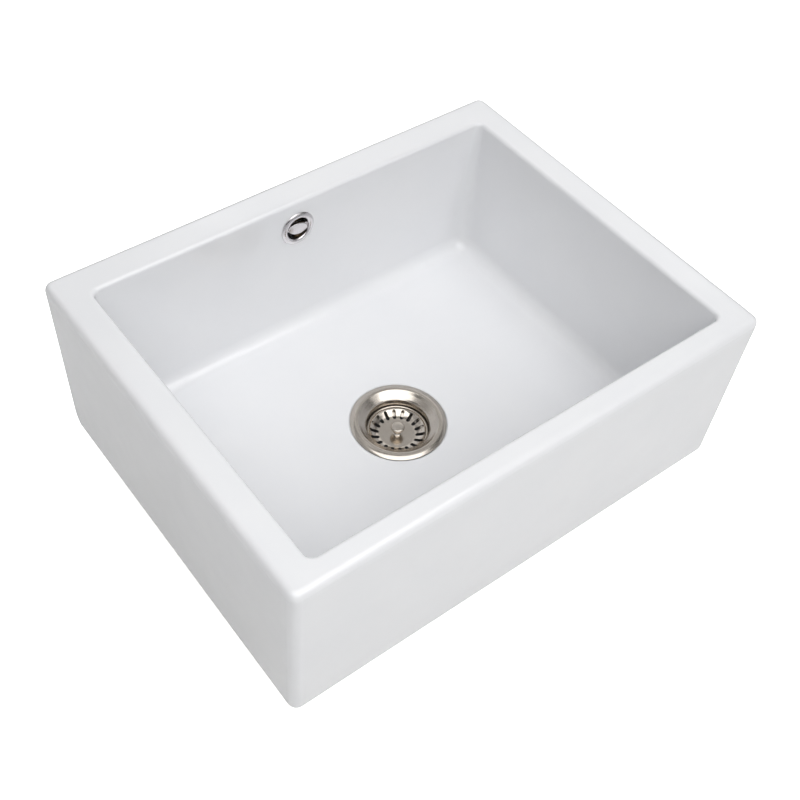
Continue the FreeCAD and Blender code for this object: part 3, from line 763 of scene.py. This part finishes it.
body = piece("waste_body_moulded", waste_mesh(), "sink", WHITE, ["waste_body"], lift=DROP)
hexagon = [(54 * 0.57735 * math.cos(math.pi * k / 3), 54 * 0.57735 * math.sin(math.pi * k / 3)) for k in range(6)]
inner = [(21.5 * math.cos(math.pi * k / 48), 21.5 * math.sin(math.pi * k / 48)) for k in range(96)]
nut = tool(prism(hexagon, -40, -34), lift=DROP)
carve(nut, tool(prism(inner, -41, -33), lift=DROP))
carve(body, nut, "UNION")
fins = []
for k in range(8):
    a = 2 * math.pi * k / 8
    fin = prism([(45.5, -0.5), (54.0, -0.5), (47.0, -10.0), (45.5, -10.0)], -1.25, 1.25)
    stand = Matrix.Rotation(a, 4, "Z") @ Matrix(((1, 0, 0, 0), (0, 0, -1, 0), (0, 1, 0, 0), (0, 0, 0, 1)))
    fins.append(moved(fin, stand))
carve(body, tool(joined(*fins), lift=DROP), "UNION")
ribs = []
for k in range(3):
    a = 2 * math.pi * k / 3
    rib = prism([(2.0, -12.0), (44.5, -12.0), (30.5, -26.0), (2.0, -26.0)], -1.5, 1.5)
    stand = Matrix.Rotation(a, 4, "Z") @ Matrix(((1, 0, 0, 0), (0, 0, -1, 0), (0, 1, 0, 0), (0, 0, 0, 1)))
    ribs.append(moved(rib, stand))
spider = tool(moved(ribs[0], Matrix.Identity(4)), lift=DROP)
for rib in ribs[1:]:
    carve(spider, tool(rib, lift=DROP), "UNION")
carve(spider, tool(lathe([(0, -28), (8, -28), (8, -8), (0, -8)], 72), lift=DROP), "UNION")
bore = [(0, -29), (3.3, -29), (3.3, -25), (5.0, -25), (5.0, -9), (3.3, -9), (3.3, -7), (0, -7)]
carve(spider, tool(lathe(bore, 72), lift=DROP))
carve(body, spider, "UNION")

# ---------------------------------------------------------------- floor, light and camera

WORLD = 0.03
LAMPS = {
    # azimuth from the front, elevation: watts
    (0, 22): 1.0,
    (45, 22): 1.1,
    (90, 22): 1.0,
    (135, 22): 7.0,
    (180, 22): 3.0,
    (225, 22): 2.0,
    (270, 22): 1.0,
    (315, 22): 1.0,
    (20, 36): 8.5,
    (0, 52): 1.0,
    (45, 52): 1.0,
    (90, 52): 1.0,
    (135, 52): 5.0,
    (180, 52): 2.5,
    (225, 52): 3.7,
    (270, 52): 1.0,
    (315, 52): 1.0,
    (340, 64): 63.0,
    (0, 90): 1.0,
}


def sheet(name, z, half):
    me = bpy.data.meshes.new(name)
    me.from_pydata([(-half, -half, z), (half, -half, z), (half, half, z), (-half, half, z)], [], [(0, 1, 2, 3)])
    o = bpy.data.objects.new(name, me)
    bpy.context.scene.collection.objects.link(o)
    return o


def far_wall(name, radius):
    """A tall round wall with a domed top, far outside the lamps."""
    rows = [(radius, -0.05)] + [
        (radius * math.cos(math.radians(t)), radius * math.sin(math.radians(t))) for t in range(4, 89, 4)
    ]
    verts, faces = [], []
    for r, z in rows:
        verts += [(r * math.cos(2 * math.pi * k / 64), r * math.sin(2 * math.pi * k / 64), z) for k in range(64)]
    for i in range(len(rows) - 1):
        faces += [(i * 64 + k, i * 64 + (k + 1) % 64, i * 64 + 64 + (k + 1) % 64, i * 64 + 64 + k) for k in range(64)]
    faces.append(tuple((len(rows) - 1) * 64 + k for k in range(64)))
    me = bpy.data.meshes.new(name)
    me.from_pydata(verts, [], faces)
    o = bpy.data.objects.new(name, me)
    bpy.context.scene.collection.objects.link(o)
    return o


def paper(name, glow):
    m, t, p = shader(name)
    p.inputs["Roughness"].default_value = 0.95
    p.inputs["Specular IOR Level"].default_value = 0.0
    blend_colour(t, p, speckle(t, place(t), 3, 2), (0.88, 0.88, 0.88), (0.9, 0.9, 0.9))
    if glow:
        p.inputs["Emission Color"].default_value = (1, 1, 1, 1)
        p.inputs["Emission Strength"].default_value = glow
    return m


def studio():
    """A white floor that bounces light, under a bright sheet of paper that only the camera sees."""
    bounce = sheet("studio_bounce", -0.002, 30)
    bounce.data.materials.append(paper("studio_bounce", 0))
    bounce.visible_camera = False
    floor = sheet("studio_floor", -0.0005, 30)
    floor.data.materials.append(paper("studio_floor", 0.8))
    floor.visible_diffuse = floor.visible_glossy = floor.visible_shadow = False
    floor.visible_transmission = False
    wall = far_wall("studio_wall", 14)
    wall.data.materials.append(paper("studio_wall", 0.8))
    wall.visible_diffuse = wall.visible_glossy = wall.visible_shadow = False
    wall.visible_transmission = False

    world = bpy.data.worlds.new("studio")
    world.use_nodes = True
    sky = world.node_tree.nodes["Background"]
    sky.inputs["Color"].default_value = (1, 1, 1, 1)
    sky.inputs["Strength"].default_value = WORLD
    bpy.context.scene.world = world

    middle = Vector((0, 0, 0.2))
    for (azimuth, elevation), watts in LAMPS.items():
        a, e = math.radians(azimuth), math.radians(elevation)
        toward = Vector((math.sin(a) * math.cos(e), -math.cos(a) * math.cos(e), math.sin(e)))
        name = f"soft_{azimuth}_{elevation}"
        lamp = bpy.data.lights.new(name, "AREA")
        lamp.shape, lamp.size, lamp.energy = "SQUARE", 3.0 if watts > 30 else 1.9, watts
        lamp.color = (1, 1, 1)
        o = bpy.data.objects.new(name, lamp)
        o.location = middle + toward * 2.5
        o.rotation_mode = "QUATERNION"
        o.rotation_quaternion = (-toward).to_track_quat("-Z", "Y")
        o.visible_camera = False
        bpy.context.scene.collection.objects.link(o)


def camera():
    azimuth, elevation, roll = (math.radians(v) for v in (-39.9435, 50.7478, 4.3647))
    back = Vector(
        (
            math.sin(azimuth) * math.cos(elevation),
            -math.cos(azimuth) * math.cos(elevation),
            math.sin(elevation),
        )
    )
    right = (-back).cross(Vector((0, 0, 1))).normalized()
    up = right.cross(-back)
    right, up = (
        right * math.cos(roll) + up * math.sin(roll),
        up * math.cos(roll) - right * math.sin(roll),
    )
    data = bpy.data.cameras.new("photo_camera")
    data.sensor_width = 36.0
    data.lens = 1169.2972 * 36 / 800
    data.shift_x = (400 - 369.5551) / 800
    data.shift_y = (420.9795 - 400) / 800
    data.clip_start, data.clip_end = 0.05, 60
    o = bpy.data.objects.new("photo_camera", data)
    o.rotation_mode = "QUATERNION"
    o.rotation_quaternion = Matrix((right, up, back)).transposed().to_quaternion()
    o.location = Vector((-577.136, -647.825 + 10.5, 1084.787 + DROP)) * MM
    bpy.context.scene.collection.objects.link(o)
    bpy.context.scene.camera = o


studio()
camera()
bpy.context.scene.view_settings.view_transform = "Standard"
bpy.context.scene.view_settings.look = "None"
